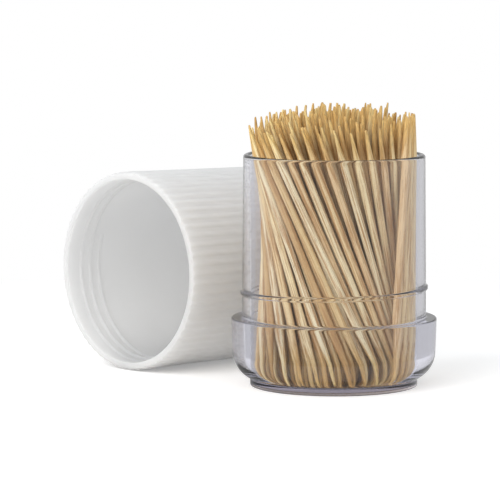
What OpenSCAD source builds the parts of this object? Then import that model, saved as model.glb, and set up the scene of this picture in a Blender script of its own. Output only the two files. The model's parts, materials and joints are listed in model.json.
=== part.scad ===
// Toothpick dispenser: a clear screw-top cup full of wooden picks, its fluted lid lying beside it.
// Millimetres. The origin is the middle of the cup's foot, on the table, with +Z up. The lid lies
// on its side behind the cup, towards +Y, with its axis along X and its mouth towards -X.

/* [Cup] */
// Height of the cup over all
cup_h = 57.5; // [50:0.5:75]
// Outer diameter of the wall at the rim
rim_d = 45; // [41:0.5:60]
// Thickness of the wall at the rim
wall_t = 1.4; // [1.0:0.1:2.2]
// Draft of the outer wall, in degrees
wall_draft = 0.5; // [0.2:0.1:1]
// Draft of the bore, in degrees
bore_draft = 0.5; // [0.2:0.1:1]
// Thickness of the floor, up from the table
floor_t = 2.6; // [2:0.1:5]
// Radius round the edge of the floor, inside
floor_round = 0.6; // [0.2:0.1:1.5]

/* [Collar and foot] */
// Outer diameter of the collar at its ledge
collar_d = 51; // [48:0.5:66]
// Height of the ledge that the lid seats on
ledge_z = 17; // [14:0.5:24]
// Draft of the collar's side, in degrees
collar_draft = 1.6; // [0.5:0.1:3]
// Radius of the collar's lower corner
collar_round = 7.4; // [4:0.1:9]
// Diameter of the foot
foot_d = 41.6; // [36:0.5:48]
// Height of the foot below the rounded corner
foot_h = 1.9; // [1.2:0.1:3]
// Depth of the recess under the foot
recess_h = 0.6; // [0.3:0.1:1.2]
// Width of the ring that the cup stands on
foot_ring_w = 2.4; // [1.5:0.1:5]
// Small radius that breaks the cup's outer edges
edge_round = 0.4; // [0.2:0.1:0.6]

/* [Thread] */
// Climb of the thread in one turn
thread_lead = 3; // [2:0.25:5]
// Height that the cup's bead stands off the wall
bead_h = 0.5; // [0.3:0.1:0.9]
// Width of the cup's bead at its root
bead_w = 1.3; // [0.8:0.1:2]
// How far round the wall the bead runs, in degrees
bead_sweep = 300; // [180:10:350]
// Direction of the bead's lower end, in degrees from +X
bead_start = 77; // [0:1:359]
// Height of the bead's start above the ledge
bead_rise = 5.6; // [4:0.1:8]
// Gap between the bead's crest and the lid's bore
bead_gap = 0.15; // [0.1:0.05:0.5]
// Height of the lid's thread ridge
ridge_h = 0.55; // [0.3:0.05:0.8]
// Width of the lid's thread ridge at its root
ridge_w = 1.4; // [0.8:0.1:1.8]
// Number of turns of the lid's thread
ridge_turns = 2.3; // [1:0.1:3]
// Depth of the lid's first ridge behind its mouth
ridge_in = 4; // [3:0.1:6]

/* [Lid] */
// Length of the lid over all
lid_len = 53.3; // [48:0.1:70]
// Thickness of the lid's closed end
lid_end_t = 1.6; // [1:0.1:3]
// Draft of the lid, in degrees
lid_draft = 0.7; // [0.3:0.1:1.2]
// Number of ribs round the lid
rib_count = 64; // [40:4:80]
// Radius of a rib's rounded crest
rib_r = 0.9; // [0.7:0.05:1.1]
// Height of a rib above the grooves
rib_h = 0.42; // [0.3:0.02:0.6]
// Radius round the lid's closed end
lid_round = 1.4; // [0.8:0.1:2.5]
// Width of the bevel inside the lid's mouth
mouth_bevel = 0.3; // [0.2:0.1:0.8]
// Where the lid's mouth touches the table, along X from the cup's middle
lid_x = -20.3; // [-40:0.1:0]
// Where the lid's axis lies, along Y from the cup's middle
lid_y = 55; // [54:0.1:90]

/* [Picks] */
// Length of a pick
pick_len = 65; // [60:0.5:68]
// Diameter of a pick
pick_d = 1.9; // [1.8:0.05:2.2]
// Length of each pointed end
point_len = 11; // [8:0.5:14]
// How full the points are, where 1 is a plain cone
point_swell = 0.9; // [0.7:0.05:1]
// Diameter of the blunt tip
tip_d = 0.5; // [0.3:0.05:0.8]
// Gap between one ring of picks and the next at the waist
ring_gap = 0.08; // [0.05:0.01:0.4]
// Gap between neighbours in a ring
side_gap = 0.3; // [0.2:0.01:0.6]
// Gap between the outer ring and the wall
wall_gap = 0.15; // [0.1:0.05:0.5]
// Gap between the lowest tips and the floor
floor_gap = 0.1; // [0.05:0.01:0.2]
// Mean twist of the bundle from floor to rim, in degrees
twist_mean = 52; // [20:1:60]
// How much the twist grows to one side and falls to the other, in degrees
twist_swing = 28; // [0:1:30]
// Direction of the greatest twist, seen from above, in degrees from +X
twist_side = -135; // [-180:5:180]
// Most that a pick is pushed up out of the bundle
pick_lift = 2.6; // [0:0.1:4]

/* [Loose picks] */
// Number of upright picks that stand loose against the wall
loose_count = 8; // [3:1:8]
// Direction of the first loose pick's foot, in degrees from +X
loose_start = -90; // [-180:5:180]
// Turn from a loose pick's foot to its top at the rim, in degrees
loose_twist = 16; // [10:1:18]

/* [Hidden] */
$fn = 96;

// Cup, worked out
rim_r = rim_d / 2;
bore_r = rim_r - wall_t;
bore_floor_r = bore_r - (cup_h - floor_t) * tan(bore_draft);
collar_r = collar_d / 2;
foot_r = foot_d / 2;
corner_x = collar_r - collar_round - (ledge_z - collar_round) * tan(collar_draft);
corner_a = acos((foot_r - corner_x) / collar_round);
corner_z = foot_h + collar_round * sin(corner_a);
round_steps = 8;
thread_step = 12;
thread_fade = 30;

// Lid, worked out: its ribs' crests are flush with the collar when it is screwed on
lid_bore_r = wall_r(ledge_z) + bead_h + bead_gap;
lid_core_r = collar_r - rib_h;
rib_c = collar_r - rib_r;
rib_step = 360 / rib_count;
lid_tilt = atan(tan(lid_draft) * cos(rib_step / 2));
lid_low = rib_c * cos(rib_step / 2) + rib_r / cos(lid_draft);
lid_bore_len = lid_len - lid_end_t;

// Picks, worked out: rings of slanted picks, drawn in at the waist by the twist. Where the twist
// is greatest the waist is tightest, so the middles of the inner rings lie away from there. The
// rings go in pairs of one count: the inner ring's picks nest between those of the outer ring.
ring_r0 = bore_floor_r - pick_d / 2 - wall_gap;
foot_z = floor_t + floor_gap;
reach = cup_h - foot_z;
waist_tight = cos((twist_mean + twist_swing) / 2);
waist_slack = cos((twist_mean - twist_swing) / 2);
waist_mean = (waist_tight + waist_slack) / 2;
ring_room = pick_d + ring_gap;
nest_room = sqrt(pow(ring_room, 2) - pow(pick_d / 2, 2));
ring_count = len([for (k = [0 : 30]) if (ring_radius(k) > ring_room / waist_mean) k]);
spread = (waist_slack - waist_tight) / (waist_slack + waist_tight);
loose_step = 2 * asin((pick_d + side_gap) / (2 * ring_r0));
loose_span = (loose_count - 1) * loose_step;
loose_feet_clear = 16;
loose_tops_clear = 22;
loose_tops_past = 10;
sector_size = 5;

RING_NODES = [for (k = [0 : ring_count - 1]) for (s = [0 : sectors(k) - 1]) ring_name(k, s)];
LOOSE_NODES = [for (i = [1 : loose_count]) str("loose_pick_", i)];

// --- helpers -------------------------------------------------------------------------------

// Points of an arc about [x, y], from one angle to another
function arc(x, y, r, from, to, steps = round_steps) =
    [for (i = [0 : steps]) let (a = from + (to - from) * i / steps) [x + r * cos(a), y + r * sin(a)]];

// Outer radius of the cup's wall at height z
function wall_r(z) = rim_r + (cup_h - z) * tan(wall_draft);

// A thread ridge between two radii, swept along a helix and fading out at its ends
module helix_ridge(root, crest, width, sweep) {
    steps = round(sweep / thread_step);
    sections = [
        for (i = [0 : steps])
            let (
                a = sweep * i / steps,
                z = thread_lead * a / 360,
                grow = min(1, (a + 1) / thread_fade, (sweep - a + 1) / thread_fade),
                top = root + (crest - root) * grow,
                sunk = root - sign(crest - root) * width / 3
            )
            [
                for (p = [[sunk, -width / 2], [root, -width / 2], [top, -width / 5],
                          [top, width / 5], [root, width / 2], [sunk, width / 2]])
                    [p[0] * cos(a), p[0] * sin(a), z + p[1]]
            ]
    ];
    n = len(sections[0]);
    flip = crest > root;
    sides = [
        for (i = [0 : steps - 1]) for (j = [0 : n - 1])
            let (k = (j + 1) % n, a = i * n, b = a + n)
            each [[a + j, b + j, b + k], [a + j, b + k, a + k]]
    ];
    caps = [[for (j = [n - 1 : -1 : 0]) j], [for (j = [0 : n - 1]) steps * n + j]];
    polyhedron([for (s = sections) each s],
               [for (f = concat(sides, caps)) flip ? f : [for (j = [len(f) - 1 : -1 : 0]) f[j]]]);
}

// --- cup -----------------------------------------------------------------------------------

// Half section of the cup, one moulding from the foot's recess to the rim and down to the floor
module cup_section() {
    wall_foot_r = wall_r(ledge_z);
    half = wall_t / 2;
    polygon(concat(
        [[0, recess_h], [foot_r - foot_ring_w, recess_h], [foot_r - foot_ring_w, 0]],
        arc(foot_r - edge_round, edge_round, edge_round, -90, 0, 3),
        arc(corner_x, corner_z, collar_round, -corner_a, -collar_draft, 12),
        arc(collar_r - edge_round, ledge_z - edge_round, edge_round, 0, 90, 3),
        arc(wall_foot_r + edge_round, ledge_z + edge_round, edge_round, 270, 180, 3),
        arc(rim_r - half, cup_h - half, half, 0, 180),
        arc(bore_floor_r - floor_round, floor_t + floor_round, floor_round, 0, -90, 4),
        [[0, floor_t]]
    ));
}

module cup() {
    bead_z = ledge_z + bead_rise;
    color([0.86, 0.87, 0.92, 0.45]) {
        rotate_extrude() cup_section();
        translate([0, 0, bead_z])
            rotate(bead_start)
                helix_ridge(wall_r(bead_z + thread_lead), wall_r(bead_z) + bead_h, bead_w,
                            bead_sweep);
    }
}

// --- lid -----------------------------------------------------------------------------------

// Half section inside the ribs, with the mouth at the bottom
module lid_section() {
    slope = tan(lid_draft);
    end_r = lid_bore_r - lid_bore_len * slope;
    polygon(concat(
        [[lid_bore_r + mouth_bevel, 0], [lid_core_r, 0]],
        arc(lid_core_r - lid_len * slope - lid_round + rib_h, lid_len - lid_round, lid_round - rib_h / 2,
            0, 90),
        [[0, lid_len - rib_h / 2], [0, lid_bore_len]],
        arc(end_r - lid_round / 2, lid_bore_len - lid_round / 2, lid_round / 2, 90, 0, 4),
        [[lid_bore_r, mouth_bevel]]
    ));
}

// One rib, a round bar laid along the lid's slope
module rib() {
    translate([rib_c, 0, 0])
        rotate([0, -lid_draft, 0])
            cylinder(r = rib_r, h = lid_len - lid_round, $fn = 32);
}

module lid_upright() {
    union() {
        rotate_extrude() lid_section();
        translate([0, 0, ridge_in])
            helix_ridge(lid_bore_r, lid_bore_r - ridge_h, ridge_w, ridge_turns * 360);
    }
    for (i = [0 : rib_count - 1])
        rotate(i * rib_step + rib_step / 2) rib();
}

module lid() {
    color([0.95, 0.95, 0.96])
        translate([lid_x + lid_low * sin(lid_tilt), lid_y, lid_low * cos(lid_tilt)])
            rotate([0, 90 + lid_tilt, 0])
                lid_upright();
}

// --- picks ---------------------------------------------------------------------------------

// Twist of a pick whose middle lies in direction m
function twist(m) = -(twist_mean + twist_swing * cos(m - twist_side));

// Direction of the middle of the pick at u degrees round its ring, spread where the waist is wide
function middle(u) = u + spread * sin(u - twist_side) * 180 / PI;

function foot_dir(u) = let (m = middle(u)) m - twist(m) / 2;
function top_dir(u) = let (m = middle(u)) m + twist(m) / 2;

// How far inside the first ring a ring lies at the waist
function ring_depth(k) = floor(k / 2) * ring_room + ceil(k / 2) * nest_room;

function ring_radius(k) = ring_r0 - ring_depth(k) / waist_mean;

// Middle of a ring, moved away from the side of the greatest twist
function ring_middle(k) =
    -ring_depth(k) * (waist_slack / waist_mean - 1) * [cos(twist_side), sin(twist_side), 0];

// Picks that fit round a pair of rings, side by side at the tight waist of the inner one
function ring_size(k) =
    let (
        r = ring_radius(min(2 * floor(k / 2) + 1, ring_count - 1)),
        slant = atan(2 * r * sin((twist_mean + twist_swing) / 2) / reach),
        waist = r * waist_tight * (1 + spread) * cos(slant)
    )
    floor(180 / asin((pick_d + side_gap) / (2 * waist)));

function ring_name(k, s) = str("picks_ring", k + 1, "_", s + 1);

// Angle folded into -180 to 180
function fold(a) = a - 360 * floor((a + 180) / 360);

// True where a pick of the outer ring would stand in the loose picks' way
function in_the_way(u) =
    let (
        foot = fold(foot_dir(u) - loose_start),
        top = fold(top_dir(u) - loose_start - loose_twist)
    )
    (foot > -loose_step && foot < loose_span + loose_feet_clear)
    || (top > -loose_tops_clear && top < loose_span + loose_tops_past);

// Where the picks of a ring stand, in degrees round it; each ring starts a little further on
function standing(k) =
    let (n = ring_size(k))
    [for (j = [0 : n - 1]) let (u = 360 * (j + k / 2) / n) if (k > 0 || !in_the_way(u)) u];

function sectors(k) = max(1, round(len(standing(k)) / sector_size));

// How far each pick of a ring is pushed up: most of them a little, a few of them far
function lifts(k) = [for (f = rands(0, 1, len(standing(k)), 7 + k)) pick_lift * f * f];

// Half outline of a pick: a blunt tip, a swelling point, the straight shank and the same again
function pick_outline() =
    let (
        r = pick_d / 2,
        t = tip_d / 2,
        point = [for (f = [0, 0.3, 0.65, 1]) [t + (r - t) * pow(f, point_swell), f * point_len]]
    )
    concat([[0, 0]], point, [for (i = [3 : -1 : 0]) [point[i][0], pick_len - point[i][1]]],
           [[0, pick_len]]);

module pick() {
    rotate_extrude($fn = 24) polygon(pick_outline());
}

// A pick whose centre line runs from the floor, at one direction, to the rim, at another
module slanted_pick(r, foot, top, lift = 0) {
    run = [r * cos(top) - r * cos(foot), r * sin(top) - r * sin(foot)];
    lean = atan(norm(run) / reach);
    translate([r * cos(foot), r * sin(foot), foot_z])
        rotate([0, lean, atan2(run[1], run[0])])
            translate([0, 0, lift])
                pick();
}

// One sector of a ring of the bundle
module ring_sector(k, s) {
    picks = standing(k);
    n = len(picks);
    up = lifts(k);
    color([0.84, 0.70, 0.48])
        translate(ring_middle(k))
            for (j = [0 : n - 1])
                if (floor(j * sectors(k) / n) == s)
                    slanted_pick(ring_radius(k), foot_dir(picks[j]), top_dir(picks[j]), up[j]);
}

// The pick in the middle of the bundle stands straight up
module middle_pick() {
    color([0.80, 0.64, 0.40])
        translate(ring_middle(ring_count) + [0, 0, foot_z])
            pick();
}

// A loose pick leaning on the wall, where the outer ring leaves room
module loose_pick(i) {
    foot = loose_start + (i - 1) * loose_step;
    color([0.86, 0.72, 0.50])
        slanted_pick(ring_r0, foot, foot + loose_twist);
}

cup();
lid();
for (k = [0 : ring_count - 1])
    for (s = [0 : sectors(k) - 1])
        ring_sector(k, s);
middle_pick();
for (i = [1 : loose_count])
    loose_pick(i);
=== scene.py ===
import json
import math

import bpy
import numpy as np
from mathutils import Matrix, Vector


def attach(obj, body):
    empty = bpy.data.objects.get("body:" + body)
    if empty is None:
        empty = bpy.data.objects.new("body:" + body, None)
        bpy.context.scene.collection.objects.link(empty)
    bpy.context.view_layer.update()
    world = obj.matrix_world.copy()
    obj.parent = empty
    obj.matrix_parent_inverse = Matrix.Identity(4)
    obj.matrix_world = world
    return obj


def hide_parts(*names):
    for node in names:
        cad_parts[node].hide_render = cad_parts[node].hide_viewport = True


# A clear cup full of toothpicks, with its white screw lid lying beside it. The cup and the lid are
# turned anew with their small rounds, and each pick is built on the axis of its own CAD solid.

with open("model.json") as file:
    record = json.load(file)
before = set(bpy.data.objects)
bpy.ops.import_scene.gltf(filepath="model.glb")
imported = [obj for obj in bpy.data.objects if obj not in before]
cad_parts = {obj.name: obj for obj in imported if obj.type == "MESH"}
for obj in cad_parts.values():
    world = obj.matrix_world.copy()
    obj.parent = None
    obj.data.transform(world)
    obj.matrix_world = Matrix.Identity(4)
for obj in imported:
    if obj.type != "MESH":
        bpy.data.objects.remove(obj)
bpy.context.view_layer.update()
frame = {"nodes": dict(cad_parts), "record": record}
MM = 0.001


# --- sizes that follow the part's source, in millimetres and degrees ---------------------------

CUP_H, RIM_R, WALL_T, FLOOR_T = 57.5, 22.5, 1.4, 2.6
WALL_SLOPE = math.tan(math.radians(0.5))
FLOOR_ROUND = 0.6
COLLAR_R, LEDGE_Z, COLLAR_DRAFT, COLLAR_ROUND = 25.5, 17.0, 1.6, 7.4
FOOT_R, FOOT_H, RECESS_H, RING_W, EDGE = 20.8, 1.9, 0.6, 2.4, 0.4
LEAD = 3.0
BEAD_Z, BEAD_H, BEAD_W, BEAD_START, BEAD_SWEEP = 22.6, 0.5, 1.3, 77.0, 300.0
BEAD_GAP = 0.15
THREAD_FADE = 30.0

LID_LEN, LID_END, LID_DRAFT = 53.3, 1.6, 0.7
LID_SLOPE = math.tan(math.radians(LID_DRAFT))
RIB_COUNT, RIB_R, RIB_H, LID_ROUND, BEVEL = 64, 0.9, 0.42, 1.4, 0.3
RIDGE_IN, RIDGE_H, RIDGE_W, RIDGE_TURNS = 4.0, 0.55, 1.4, 2.3
LID_X, LID_Y = -20.3, 55.0

PICK_R, TIP_R, POINT_LEN, POINT_SWELL = 0.95, 0.25, 11.0, 0.9


# --- small forms that only the scene has, in millimetres and degrees ---------------------------

# Rounds at the recess, at the ring that the cup stands on, and above the foot
RECESS_ROUND, RING_ROUND, NECK_ROUND = 0.2, 0.15, 0.25
# For the last: how far below the collar's corner its middle is, the direction in which it ends,
# and how much of the corner's arc it takes away
NECK_DROP, NECK_END, CORNER_TRIM = 0.15, 116, 3
# Columns of the cup's mesh, and its rows where the bead runs: their step, and how far they go on
CUP_COLUMNS, BEAD_STEP, BEAD_MARGIN = 360, 0.1, 1.0

# Tightness of the fillet beside a rib, per millimetre, and the mesh's columns for each rib
RIB_FILLET, RIB_COLUMNS = 14, 12
# Share of its height that a rib has at some distances from the mouth
RIB_RISE = ((0.6, 0.7), (1.0, 0.85), (1.6, 1.0))
# How far round the closed end's edge a rib has run out
RIB_RUN_OUT = 60
# Round of the mouth's outer edge, and how far inside it the rows of the mouth's face are
MOUTH_ROUND, MOUTH_FACE = 0.3, (0.75, 0.45)
# Depths of the rows in the bore: plain ones, those of the thread, and one near the mouth
PLAIN_DEPTHS = (48.0, 30.0, 16.0)
THREAD_DEEP, THREAD_NEAR, THREAD_STEP = 13.0, 2.6, 0.15
LAST_DEPTH = 1.2
# Rows along the ribs: how many, and how far they keep from the mouth and from the end's round
SIDE_ROWS, SIDE_START, SIDE_MARGIN = 12, 3, 1.2
# Distance from a round edge to the row that keeps the flat face beside it flat, in and out
FLAT_IN, FLAT_OUT = 0.2, 0.3

# Least and greatest share of the source's size for a shank, for its flatter side, for the length
# of a point and for a tip, then the greatest bow, and the share that the blunt end has of its tip
SHANK_SPREAD, FLAT_SPREAD = (0.93, 1.0), (0.93, 1.0)
POINT_SPREAD, TIP_SPREAD = (0.86, 1.1), (0.7, 1.25)
BOW, BLUNT = 0.05, 0.8
# Where the rows of a point stand, as shares of its length
POINT_SHARES = [0, 0.03, 0.12, 0.3, 0.5, 0.7, 0.87, 1.0]
# Rows of the shank, their distance from the points, and the sides of a pick
SHANK_ROWS, SHANK_MARGIN, SIDES = 8, 3, 14
# First seed of the picks' random sizes, and how far the grain may shift from pick to pick
FIRST_SEED, GRAIN_SHIFT = 100, 400

# How much light is lost between the picks at five heights, ring by ring from the wall inwards
SHADE_Z = [3, 9, 55, 59, 66]
RING_SHADE = [[0.15, 0, 0, 0, 0], [0.5, 0.03, 0.03, 0.4, 0], [0.8, 0.25, 0.25, 0.9, 0]]


# --- mesh helpers ------------------------------------------------------------------------------

def new_object(name, data):
    made = bpy.data.objects.new(name, data)
    bpy.context.scene.collection.objects.link(made)
    return made


def new_piece(name, vertices, faces, sharp):
    """A smooth-shaded mesh object, with edges sharper than the angle kept hard."""
    mesh = bpy.data.meshes.new(name)
    mesh.from_pydata(vertices, [], faces)
    mesh.shade_smooth()
    mesh.set_sharp_from_angle(angle=math.radians(sharp))
    return new_object(name, mesh)


def smooth(t):
    return t * t * (3 - 2 * t)


def arc(x, y, r, start, end, steps):
    """Points of a circle round (x, y), from one direction to another in degrees."""
    angles = np.radians(np.linspace(start, end, steps + 1))
    return [(x + r * math.cos(a), y + r * math.sin(a)) for a in angles]


def supported(profile, near=0.12, long=0.8):
    """Adds a point near both ends of each long straight stretch, so that its shading stays flat."""
    points = [profile[0]]
    for a, b in zip(profile, profile[1:]):
        d = math.dist(a, b)
        if d > long:
            for t in (near / d, 1 - near / d):
                points.append((a[0] + (b[0] - a[0]) * t, a[1] + (b[1] - a[1]) * t))
        points.append(b)
    return points


def lathe(name, radius, height):
    """A closed surface of revolution in millimetres. radius and height hold one row per point of
    the profile and one column per step round it; the first and last rows are on the axis. With
    the outside on the profile's right, the faces look outwards."""
    rows, columns = radius.shape
    turn = np.linspace(0, 2 * math.pi, columns, endpoint=False)
    body = np.stack([radius * np.cos(turn), radius * np.sin(turn), height], axis=-1)[1:-1]
    rows -= 2
    poles = [(0, 0, height[0, 0]), (0, 0, height[-1, 0])]
    vertices = np.concatenate([body.reshape(-1, 3), poles]) * MM
    first, last = rows * columns, rows * columns + 1
    i, j = np.meshgrid(np.arange(rows - 1), np.arange(columns), indexing="ij")
    k = (j + 1) % columns
    quads = np.stack([i * columns + j, i * columns + k, (i + 1) * columns + k,
                      (i + 1) * columns + j], axis=-1).reshape(-1, 4).tolist()
    fans = []
    top = (rows - 1) * columns
    for c in range(columns):
        d = (c + 1) % columns
        fans += [(first, d, c), (last, top + c, top + d)]
    return new_piece(name, vertices.tolist(), quads + fans, sharp=50)


def ridge(turn, z, start, base, sweep, width):
    """Height, 0 to 1, of a thread ridge of right-hand lead at directions turn and heights z."""
    best = np.zeros(np.broadcast(turn, z).shape)
    for lap in range(math.ceil(sweep / 360)):
        along = (turn - start) % 360 + 360 * lap
        centre = base + LEAD * along / 360
        side = smooth(np.clip((0.5 - np.abs(z - centre) / width) / 0.3, 0, 1))
        grow = np.clip(np.minimum(along, sweep - along) / THREAD_FADE, 0, 1)
        best = np.maximum(best, side * np.sqrt(grow))
    return best


# --- cup ---------------------------------------------------------------------------------------

def wall_r(z):
    """Outer radius of the cup's wall at a height."""
    return RIM_R + (CUP_H - z) * WALL_SLOPE


def make_cup():
    """The cup, with its profile drawn from under the foot, up the outside and down the bore."""
    bore_r = RIM_R - WALL_T
    bore_floor_r = bore_r - (CUP_H - FLOOR_T) * WALL_SLOPE
    corner_x = COLLAR_R - COLLAR_ROUND - (LEDGE_Z - COLLAR_ROUND) * math.tan(
        math.radians(COLLAR_DRAFT))
    corner_a = math.degrees(math.acos((FOOT_R - corner_x) / COLLAR_ROUND))
    corner_z = FOOT_H + COLLAR_ROUND * math.sin(math.radians(corner_a))
    half = WALL_T / 2
    inner = FOOT_R - RING_W
    # Recess, ring, foot, rounded corner, ledge and the wall's root
    below = [(0, RECESS_H), (inner - RECESS_ROUND, RECESS_H)]
    below += arc(inner - RECESS_ROUND, RECESS_H - RECESS_ROUND, RECESS_ROUND, 90, 0, 4)[1:]
    below += arc(inner + RING_ROUND, RING_ROUND, RING_ROUND, 180, 270, 4)
    below += arc(FOOT_R - EDGE, EDGE, EDGE, -90, 0, 6)
    below += arc(FOOT_R + NECK_ROUND, FOOT_H - NECK_DROP, NECK_ROUND, 180, NECK_END, 4)[:-1]
    below += arc(corner_x, corner_z, COLLAR_ROUND, -corner_a + CORNER_TRIM, -COLLAR_DRAFT, 40)
    below += arc(COLLAR_R - EDGE, LEDGE_Z - EDGE, EDGE, 0, 90, 8)
    below += arc(wall_r(LEDGE_Z) + EDGE, LEDGE_Z + EDGE, EDGE, 270, 180, 8)
    # The wall where the thread bead runs, in close rows
    low, high = BEAD_Z - BEAD_MARGIN, BEAD_Z + LEAD * BEAD_SWEEP / 360 + BEAD_MARGIN
    bead = [(wall_r(z), z) for z in np.arange(low, high, BEAD_STEP)]
    # Rim, bore and floor
    above = arc(RIM_R - half, CUP_H - half, half, 0, 180, 16)
    above += arc(bore_floor_r - FLOOR_ROUND, FLOOR_T + FLOOR_ROUND, FLOOR_ROUND, 0, -90, 8)
    above += [(0, FLOOR_T)]
    profile = np.array(supported(below + bead + above))
    turn = np.linspace(0, 360, CUP_COLUMNS, endpoint=False)
    radius = np.repeat(profile[:, :1], CUP_COLUMNS, axis=1)
    height = np.repeat(profile[:, 1:], CUP_COLUMNS, axis=1)
    # The bead stands on the outside only, not on the bore at the same heights
    outer = ((profile[:, 1] > low - 0.01) & (profile[:, 1] < high + 0.01)
             & (profile[:, 0] > RIM_R - 0.1))
    radius[outer] += BEAD_H * ridge(turn[None, :], height[outer], BEAD_START, BEAD_Z, BEAD_SWEEP,
                                    BEAD_W)
    return lathe("cup_moulding", radius, height)


# --- lid ---------------------------------------------------------------------------------------

def rib_heights(turn, core_r, rib_c):
    """How far the ribs stand off the lid's wall at some directions."""
    step = 360 / RIB_COUNT
    off = np.radians((turn % step) - step / 2)
    # Outer side of a rib's round bar, as a radius of the lid, and 0 in the grooves
    bar = rib_c * np.cos(off) + np.sqrt(np.clip(RIB_R ** 2 - (rib_c * np.sin(off)) ** 2, 0, None))
    bar[np.abs(rib_c * np.sin(off)) > RIB_R] = 0
    # A small fillet where each rib leaves the groove
    stand = np.log(np.exp(RIB_FILLET * (bar - core_r)) + 1) / RIB_FILLET
    return np.clip(stand - stand.min(), 0, RIB_H)


def lid_rows(bore_r, core_r):
    """The lid's profile from inside its closed end, over the mouth to the closed end's outside.
    A row holds a radius, a height, a share of the ribs' height, and 1 where there is thread."""
    rows = []

    def row(r, z, rib=0.0, thread=0.0):
        rows.append((r, z, rib, thread))

    bore_len = LID_LEN - LID_END
    end_r = bore_r - bore_len * LID_SLOPE
    end_round = LID_ROUND / 2
    row(0, bore_len)
    row(end_r - end_round - FLAT_IN, bore_len)
    for r, z in arc(end_r - end_round, bore_len - end_round, end_round, 90, 0, 6):
        row(r, z)
    for z in PLAIN_DEPTHS:
        row(bore_r - z * LID_SLOPE, z)
    for z in np.arange(THREAD_DEEP, THREAD_NEAR, -THREAD_STEP):
        row(bore_r - z * LID_SLOPE, z, 0, 1)
    row(bore_r - LAST_DEPTH * LID_SLOPE, LAST_DEPTH)
    for r, z in arc(bore_r + BEVEL, BEVEL, BEVEL, 180, 270, 6):
        row(r, z)
    # The mouth's face, then the ribbed outside
    for inset in MOUTH_FACE:
        row(core_r - inset, 0)
    for r, z in arc(core_r - MOUTH_ROUND, MOUTH_ROUND, MOUTH_ROUND, 270, 360, 6):
        row(r, z, max(0.0, (r - core_r + MOUTH_ROUND) / (2 * MOUTH_ROUND)))
    for z, rib in RIB_RISE:
        row(core_r - z * LID_SLOPE, z, rib)
    for z in np.linspace(SIDE_START, LID_LEN - LID_ROUND - SIDE_MARGIN, SIDE_ROWS):
        row(core_r - z * LID_SLOPE, z, 1)
    # The closed end's round edge, where the ribs run out
    top_r = core_r - LID_LEN * LID_SLOPE
    top_z = LID_LEN - RIB_H / 2
    top_round = LID_ROUND - RIB_H / 2
    for a in np.linspace(0, 90, 13):
        row(top_r - top_round + top_round * math.cos(math.radians(a)),
            top_z - top_round + top_round * math.sin(math.radians(a)),
            smooth(max(0.0, 1 - a / RIB_RUN_OUT)))
    row(top_r - top_round - FLAT_OUT, top_z)
    row(0, top_z)
    return np.array(rows)


def make_lid():
    bore_r = wall_r(LEDGE_Z) + BEAD_H + BEAD_GAP
    core_r, rib_c = COLLAR_R - RIB_H, COLLAR_R - RIB_R
    columns = RIB_COUNT * RIB_COLUMNS
    turn = np.linspace(0, 360, columns, endpoint=False)
    rows = lid_rows(bore_r, core_r)
    radius = np.repeat(rows[:, :1], columns, axis=1)
    height = np.repeat(rows[:, 1:2], columns, axis=1)
    radius += rows[:, 2:3] * rib_heights(turn, core_r, rib_c)[None, :]
    threaded = rows[:, 3] > 0
    radius[threaded] -= RIDGE_H * ridge(turn[None, :], height[threaded], 0, RIDGE_IN,
                                        RIDGE_TURNS * 360, RIDGE_W)
    made = lathe("lid_moulding", radius, height)
    # Laid down on two neighbouring ribs, so that its draft tilts its axis
    half_step = math.radians(360 / RIB_COUNT / 2)
    tilt = math.atan(LID_SLOPE * math.cos(half_step))
    low = rib_c * math.cos(half_step) + RIB_R / math.cos(math.radians(LID_DRAFT))
    place = Vector((LID_X + low * math.sin(tilt), LID_Y, low * math.cos(tilt))) * MM
    made.data.transform(Matrix.Translation(place) @ Matrix.Rotation(math.pi / 2 + tilt, 4, "Y"))
    return made


# --- picks -------------------------------------------------------------------------------------

def islands(node):
    """The separate solids of a CAD node, each as an array of its points in millimetres."""
    mesh = node.data
    points = np.empty(len(mesh.vertices) * 3)
    mesh.vertices.foreach_get("co", points)
    points = points.reshape(-1, 3) / MM
    edges = np.empty(len(mesh.edges) * 2, int)
    mesh.edges.foreach_get("vertices", edges)
    _, same = np.unique(np.round(points, 3), axis=0, return_inverse=True)
    edges = same.reshape(-1)[edges].reshape(-1, 2)
    # Each point takes the lowest label that its edges lead to, until no label changes
    label = np.arange(same.max() + 1)
    while True:
        low = np.minimum(label[edges[:, 0]], label[edges[:, 1]])
        new = label.copy()
        np.minimum.at(new, edges[:, 0], low)
        np.minimum.at(new, edges[:, 1], low)
        new = new[new]
        if (new == label).all():
            break
        label = new
    label = label[same.reshape(-1)]
    return [points[label == value] for value in np.unique(label)]


def pick_axes(node):
    """Lower and upper end of each pick of a node, sorted by where it stands."""
    axes = []
    for points in islands(node):
        middle = (points.max(0) + points.min(0)) / 2
        _, _, ways = np.linalg.svd(points - points.mean(0), full_matrices=False)
        way = ways[0] * np.sign(ways[0][2])
        reach = (points - middle) @ way
        centre = middle + way * (reach.max() + reach.min()) / 2
        half = (reach.max() - reach.min()) / 2
        axes.append((centre - way * half, centre + way * half))
    return sorted(axes, key=lambda ends: (round(ends[0][0], 2), round(ends[0][1], 2)))


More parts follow.
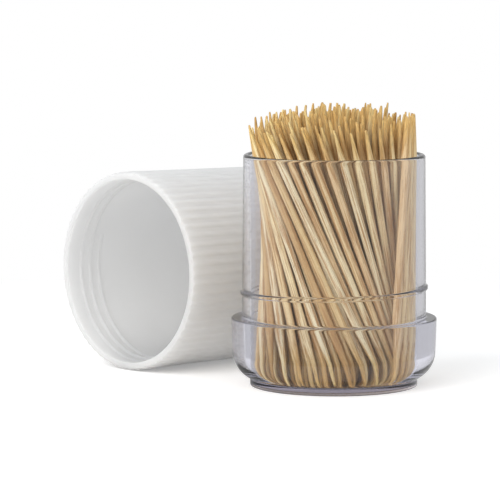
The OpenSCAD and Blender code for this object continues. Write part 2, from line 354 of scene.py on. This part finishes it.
def pick_mesh(low, high, rng):
    """One pick's points, faces, own coordinates and length: a slightly uneven round stick."""
    length = float(np.linalg.norm(high - low))
    way = (high - low) / length
    side = np.cross(way, [0.0, 1.0, 0.0])
    side /= np.linalg.norm(side)
    other = np.cross(way, side)
    shank = PICK_R * rng.uniform(*SHANK_SPREAD)
    flat, spin = rng.uniform(*FLAT_SPREAD), rng.uniform(0, math.pi)
    bow, bow_way = rng.uniform(0, BOW), rng.uniform(0, 2 * math.pi)
    point_lens = [rng.uniform(*POINT_SPREAD) * POINT_LEN for _ in range(2)]
    tips = [rng.uniform(*TIP_SPREAD) * TIP_R for _ in range(2)]
    # Rows of points: how far along the pick, at which end, and how far down that end's point
    rows = [(share * point_lens[0], 0, share) for share in POINT_SHARES]
    shank_start, shank_end = point_lens[0] + SHANK_MARGIN, length - point_lens[1] - SHANK_MARGIN
    rows += [(along, None, 1) for along in np.linspace(shank_start, shank_end, SHANK_ROWS)]
    rows += [(length - share * point_lens[1], 1, share) for share in reversed(POINT_SHARES)]
    turn = np.linspace(0, 2 * math.pi, SIDES, endpoint=False)
    vertices, own = [], []
    for along, end, share in rows:
        r = shank if end is None else tips[end] + (shank - tips[end]) * share ** POINT_SWELL
        if share == 0:
            r *= BLUNT
        lean = bow * math.sin(math.pi * along / length)
        centre = low + way * along + lean * (side * math.cos(bow_way) + other * math.sin(bow_way))
        round_r = r * (1 - (1 - flat) * np.cos(turn - spin) ** 2)
        x, y = round_r * np.cos(turn), round_r * np.sin(turn)
        vertices.append(centre + np.outer(x, side) + np.outer(y, other))
        own.append(np.stack([x, y, np.full(SIDES, along)], axis=-1))
    vertices.append(np.array([low, high]))
    own.append(np.array([[0, 0, 0], [0, 0, length]]))
    last_row, bottom, top = (len(rows) - 1) * SIDES, len(rows) * SIDES, len(rows) * SIDES + 1
    faces = []
    for start in range(0, last_row, SIDES):
        for j in range(SIDES):
            k = (j + 1) % SIDES
            faces.append((start + j, start + k, start + SIDES + k, start + SIDES + j))
    for j in range(SIDES):
        k = (j + 1) % SIDES
        faces.append((bottom, k, j))
        faces.append((top, last_row + j, last_row + k))
    return np.concatenate(vertices), faces, np.concatenate(own), length


def make_picks(name, rng):
    """The picks of a CAD node, with what the wood's material needs to know at each point: its own
    coordinates, the pick's tone, how near it is to a tip, and how much light is lost there."""
    vertices, faces, own, tone, point, shade = [], [], [], [], [], []
    count = 0
    ring = int(name[len("picks_ring"):].split("_")[0]) if name.startswith("picks_ring") else 1
    lost = RING_SHADE[min(ring, len(RING_SHADE)) - 1]
    for low, high in pick_axes(frame["nodes"][name]):
        corners, sides, within, length = pick_mesh(low, high, rng)
        vertices.append(corners)
        faces += [tuple(i + count for i in face) for face in sides]
        count += len(corners)
        near_end = np.minimum(within[:, 2], length - within[:, 2])
        point.append(np.clip(1 - near_end / POINT_LEN, 0, 1))
        own.append(within + rng.uniform(0, GRAIN_SHIFT, 3))
        tone.append(np.full(len(corners), rng.uniform(0, 1)))
        shade.append(np.interp(corners[:, 2], SHADE_Z, lost))
    piece = new_piece(name + "_wood", (np.concatenate(vertices) * MM).tolist(), faces, sharp=60)
    grain = piece.data.attributes.new("grain", "FLOAT_VECTOR", "POINT")
    grain.data.foreach_set("vector", np.concatenate(own).astype(np.float32).ravel())
    for attribute, values in (("tone", tone), ("point", point), ("shade", shade)):
        made = piece.data.attributes.new(attribute, "FLOAT", "POINT")
        made.data.foreach_set("value", np.concatenate(values).astype(np.float32))
    return piece


# --- shader helpers ----------------------------------------------------------------------------

def add(tree, kind, inputs=None, **settings):
    """A shader node, with its inputs linked or set."""
    made = tree.nodes.new("ShaderNode" + kind)
    for key, value in settings.items():
        setattr(made, key, value)
    for key, value in (inputs or {}).items():
        if isinstance(value, bpy.types.NodeSocket):
            tree.links.new(value, made.inputs[key])
        else:
            made.inputs[key].default_value = value
    return made


def result(tree, kind, inputs=None, **settings):
    """The first output of a new shader node."""
    return add(tree, kind, inputs, **settings).outputs[0]


def noise(tree, place, scale, detail, **more):
    return result(tree, "TexNoise", {"Vector": place, "Scale": scale, "Detail": detail, **more})


def ramp(tree, fac, stops):
    made = add(tree, "ValToRGB", {"Fac": fac})
    elements = made.color_ramp.elements
    while len(elements) < len(stops):
        elements.new(0.5)
    for element, (position, colour) in zip(elements, stops):
        element.position = position
        element.color = (*colour, 1)
    return made.outputs["Color"]


def spread(tree, value, low, high, start=0.0, end=1.0, **settings):
    """Goes from low to high while the value goes from start to end."""
    inputs = {"Value": value, 1: start, 2: end, 3: low, 4: high}
    return result(tree, "MapRange", inputs, **settings)


def blend(tree, share, first, second, kind="MIX"):
    made = add(tree, "Mix", {0: share, 6: first, 7: second}, data_type="RGBA", blend_type=kind)
    return made.outputs[2]


def bumps(tree, height, strength, distance):
    return result(tree, "Bump", {"Height": height, "Strength": strength, "Distance": distance})


def either(tree, first, second):
    """The greater of two masks."""
    return result(tree, "Math", {0: first, 1: second}, operation="MAXIMUM")


def switch(tree, share, first, second):
    """The first of two shaders where share is 0, the second where it is 1."""
    return result(tree, "MixShader", {0: share, 1: first, 2: second})


def grey(value):
    return (value, value, value)


def srgb(r, g, b):
    """A colour picked in 0-255 screen values, as the linear colour that a shader takes."""
    return tuple(((c / 255 + 0.055) / 1.055) ** 2.4 for c in (r, g, b))


def new_material(name):
    material = bpy.data.materials.new(name)
    material.use_nodes = True
    material.node_tree.nodes.clear()
    return material, material.node_tree


# --- materials ---------------------------------------------------------------------------------

def wood_material():
    material, tree = new_material("pale_wood")
    grain = add(tree, "Attribute", attribute_name="grain").outputs["Vector"]
    tone, point, shade = [add(tree, "Attribute", attribute_name=name).outputs["Fac"]
                          for name in ("tone", "point", "shade")]
    stretched = result(tree, "Mapping", {"Vector": grain, "Scale": (2.2, 2.2, 0.07)})
    streaks = noise(tree, stretched, 1.0, 4.0, Roughness=0.65)
    fine = result(tree, "Mapping", {"Vector": grain, "Scale": (7.0, 7.0, 0.55)})
    flecks = noise(tree, fine, 1.0, 2.0)
    # A colour for each pick, with darker streaks and flecks along it
    base = ramp(tree, tone, [(0.0, srgb(255, 244, 210)), (0.3, srgb(251, 232, 186)),
                             (0.5, srgb(243, 217, 168)), (0.65, srgb(236, 206, 162)),
                             (0.8, srgb(247, 223, 170)), (1.0, srgb(212, 175, 124))])
    streak_mask = ramp(tree, streaks, [(0.46, grey(0)), (0.6, grey(0.95))])
    streaked = blend(tree, streak_mask, base, (*srgb(194, 150, 100), 1))
    fleck_mask = ramp(tree, flecks, [(0.66, grey(0)), (0.74, grey(0.55))])
    flecked = blend(tree, fleck_mask, streaked, (*srgb(142, 104, 62), 1))
    # The cut points are yellower and specked
    end_mask = ramp(tree, point, [(0.1, grey(0)), (0.8, grey(0.75))])
    end_colour = ramp(tree, tone, [(0.0, srgb(255, 224, 144)), (0.45, srgb(236, 190, 110)),
                                   (0.7, srgb(250, 208, 126)), (1.0, srgb(200, 152, 80))])
    speck = ramp(tree, flecks, [(0.38, grey(0.55)), (0.54, grey(1.0))])
    specked = blend(tree, 1.0, end_colour, speck, "MULTIPLY")
    ended = blend(tree, end_mask, flecked, specked)
    # Darker and browner where the neighbours keep the light out
    shaded = ramp(tree, shade, [(0.0, grey(1.0)), (1.0, (0.42, 0.32, 0.23))])
    colour = blend(tree, 1.0, ended, shaded, "MULTIPLY")
    height = result(tree, "Math", {0: streaks, 1: flecks}, operation="ADD")
    shader = result(tree, "BsdfPrincipled", {"Base Color": colour,
                                             "Roughness": spread(tree, streaks, 0.48, 0.66),
                                             "Specular IOR Level": 0.35,
                                             "Normal": bumps(tree, height, 0.6, 0.00006)})
    add(tree, "OutputMaterial", {"Surface": shader})
    return material


def clear_material():
    """Clear plastic, tinted in its depth and on its surface; the surface is a little darker at the
    collar than above it. At the very bottom of the foot its colour is a brown painted shade, where
    the cup stands on the floor. To shadows and to light that the wood scatters it is a clear film."""
    material, tree = new_material("clear_plastic")
    place = add(tree, "TexCoord").outputs["Object"]
    haze = noise(tree, place, 90.0, 3.0)
    flow = noise(tree, place, 160.0, 1.0)
    z = add(tree, "SeparateXYZ", {0: place}).outputs["Z"]
    up = spread(tree, z, 0.0, 1.0, 0.0, CUP_H * MM)
    # The brown at the bottom of the foot is painted shade where the cup stands on the floor; above
    # it the surface is darker at the collar than higher up
    colour = ramp(tree, up, [(0.025, (0.70, 0.63, 0.61)), (0.05, (0.87, 0.87, 0.905)),
                             (0.28, (0.87, 0.87, 0.905)), (0.32, (0.925, 0.92, 0.945))])
    glass = result(tree, "BsdfPrincipled", {"Base Color": colour,
                                            "Roughness": spread(tree, haze, 0.0, 0.02),
                                            "IOR": 1.58, "Transmission Weight": 1.0,
                                            "Normal": bumps(tree, flow, 0.08, 0.00004)})
    film = result(tree, "BsdfTransparent", {"Color": (0.96, 0.96, 0.95, 1)})
    path = add(tree, "LightPath")
    soft = either(tree, path.outputs["Is Shadow Ray"], path.outputs["Is Diffuse Ray"])
    tint = result(tree, "VolumeAbsorption", {"Color": (0.62, 0.62, 0.76, 1), "Density": 35.0})
    add(tree, "OutputMaterial", {"Surface": switch(tree, soft, glass, film), "Volume": tint})
    return material


def white_material():
    material, tree = new_material("white_plastic")
    place = add(tree, "TexCoord").outputs["Object"]
    cloud = noise(tree, place, 30.0, 3.0)
    fine = noise(tree, place, 1400.0, 2.0)
    colour = ramp(tree, cloud, [(0.3, grey(0.775)), (0.7, grey(0.805))])
    shader = result(tree, "BsdfPrincipled", {"Base Color": colour,
                                             "Roughness": spread(tree, cloud, 0.38, 0.5),
                                             "Specular IOR Level": 0.4,
                                             "Subsurface Weight": 1.0,
                                             "Subsurface Radius": (0.009, 0.009, 0.009),
                                             "Subsurface Scale": 1.0,
                                             "Normal": bumps(tree, fine, 0.25, 0.00003)})
    add(tree, "OutputMaterial", {"Surface": shader})
    return material


# How bright the white surroundings are in a reflection, to the sides and towards the front,
# where a studio is dark
MIRRORED, MIRRORED_FRONT = 0.65, 0.32
FRONT = (-0.70, -0.71, 0.0)


def mirrored_level(tree, way):
    """Brightness in a reflection for things that lie in the direction of a vector."""
    unit = result(tree, "VectorMath", {0: way}, operation="NORMALIZE")
    front = add(tree, "VectorMath", {0: unit, 1: FRONT}, operation="DOT_PRODUCT")
    return spread(tree, front.outputs["Value"], MIRRORED, MIRRORED_FRONT, 0.35, 0.9,
                  interpolation_type="SMOOTHSTEP")


# Distances from the floor's middle, in metres, between which it goes out to plain white
WHITE_START, WHITE_END = 0.07, 0.22


def floor_material():
    """A white floor that keeps the object's shadow and goes out to plain white."""
    material, tree = new_material("floor")
    place = add(tree, "TexCoord").outputs["Object"]
    path = add(tree, "LightPath")
    mirror = path.outputs["Is Glossy Ray"]
    far = add(tree, "VectorMath", {0: place}, operation="LENGTH").outputs["Value"]
    # Near the object it takes shadows; further out, and in reflections, it shines evenly
    lit = result(tree, "BsdfDiffuse", {"Color": (0.98, 0.98, 0.98, 1)})
    glow = result(tree, "Emission", {"Color": (1, 1, 1, 1), "Strength": 0.27})
    near = result(tree, "AddShader", {0: lit, 1: glow})
    level = spread(tree, mirror, 1.0, mirrored_level(tree, place))
    white = result(tree, "Emission", {"Color": (1, 1, 1, 1), "Strength": level})
    whiter = either(tree, spread(tree, far, 0.0, 1.0, WHITE_START, WHITE_END), mirror)
    seen = switch(tree, whiter, near, white)
    # To the light that it throws back on the object it is a plain surface, a little warm
    direct = either(tree, path.outputs["Is Camera Ray"], mirror)
    in_view = either(tree, direct, path.outputs["Is Transmission Ray"])
    plain = result(tree, "BsdfDiffuse", {"Color": (1.0, 0.97, 0.93, 1)})
    add(tree, "OutputMaterial", {"Surface": switch(tree, in_view, plain, seen)})
    return material


# --- the object --------------------------------------------------------------------------------

wood = wood_material()
cup = make_cup()
lid = make_lid()
dressed = [(cup, "cup", "cup", clear_material(), ["cup"]),
           (lid, "lid", "lid", white_material(), ["lid"])]
bodies = frame["record"]["behaviour"]["bodies"]
pick_nodes = [(node, body) for body, nodes in bodies.items() for node in nodes
              if node not in ("cup", "lid")]
for number, (node, body) in enumerate(sorted(pick_nodes)):
    piece = make_picks(node, np.random.default_rng(FIRST_SEED + number))
    dressed.append((piece, body, "picks", wood, [node]))
for piece, body, slot, material, nodes in dressed:
    piece.data.materials.append(material)
    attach(piece, body)
    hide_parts(*nodes)


# --- camera ------------------------------------------------------------------------------------

EYE = Vector((-0.57504, -0.57570, 0.1180))
TURN, PITCH = math.radians(43.5), 0.10335
ahead = Vector((math.sin(TURN) * math.cos(PITCH), math.cos(TURN) * math.cos(PITCH),
                -math.sin(PITCH)))
camera_data = bpy.data.cameras.new("camera")
camera_data.lens = 237.6
camera_data.sensor_width = 36
camera_data.clip_end = 20
camera = new_object("camera", camera_data)
camera.location = EYE
camera.rotation_euler = ahead.to_track_quat("-Z", "Y").to_euler()
bpy.context.scene.camera = camera


# --- floor, world and lamps --------------------------------------------------------------------

# Half the floor's width in metres, and how far it lies below the object so that no faces coincide
FLOOR_HALF, FLOOR_DROP = 3, 0.0001
floor_mesh = bpy.data.meshes.new("floor")
corners = [(FLOOR_HALF * x, FLOOR_HALF * y, 0) for x, y in ((-1, -1), (1, -1), (1, 1), (-1, 1))]
floor_mesh.from_pydata(corners, [], [(0, 1, 2, 3)])
floor_mesh.materials.append(floor_material())
floor = new_object("floor", floor_mesh)
floor.location = (0.0, 0.03, -FLOOR_DROP)

# Plain white to the camera, and darker overhead where it shows through the cup or is mirrored
world = bpy.data.worlds.new("world")
world.use_nodes = True
bpy.context.scene.world = world
tree = world.node_tree
tree.nodes.clear()
path = add(tree, "LightPath")
way = add(tree, "TexCoord").outputs["Generated"]
up = add(tree, "SeparateXYZ", {0: way}).outputs["Z"]
through = ramp(tree, up, [(0.30, grey(1.0)), (0.62, (0.62, 0.62, 0.70))])
mirrored = ramp(tree, up, [(0.0, grey(1.0)), (0.7, grey(0.6))])
plain = result(tree, "Background", {"Color": (1, 1, 1, 1), "Strength": 1.0})
light = result(tree, "Background", {"Color": (0.96, 0.98, 1.0, 1), "Strength": 0.70})
glossy = result(tree, "Background", {"Color": mirrored, "Strength": mirrored_level(tree, way)})
clear = result(tree, "Background", {"Color": through})
bounced = switch(tree, path.outputs["Is Glossy Ray"], light, glossy)
indirect = switch(tree, path.outputs["Is Transmission Ray"], bounced, clear)
around = switch(tree, path.outputs["Is Camera Ray"], indirect, plain)
add(tree, "OutputWorld", {"Surface": around})


def softbox(name, place, aim, size, power):
    """A square lamp that is neither mirrored in the object nor seen through it."""
    lamp = bpy.data.lights.new(name, "AREA")
    lamp.shape = "SQUARE"
    lamp.size = size
    lamp.energy = power
    made = new_object(name, lamp)
    made.location = place
    made.rotation_euler = (Vector(aim) - Vector(place)).to_track_quat("-Z", "Y").to_euler()
    made.visible_glossy = False
    made.visible_transmission = False


softbox("top_light", (0.05, 0.10, 1.0), (0, 0.02, 0), 1.1, 0.3)
softbox("key_light", (-1.0, -0.1, 0.75), (0, 0.02, 0.03), 0.8, 7.5)

scene = bpy.context.scene
scene.view_settings.view_transform = "Standard"
scene.cycles.use_denoising = True
# Enough bounces for light to get through the cup's walls and in between the picks
scene.cycles.max_bounces = 32
scene.cycles.transmission_bounces = 28
scene.cycles.transparent_max_bounces = 24
scene.cycles.glossy_bounces = 6
scene.cycles.diffuse_bounces = 4
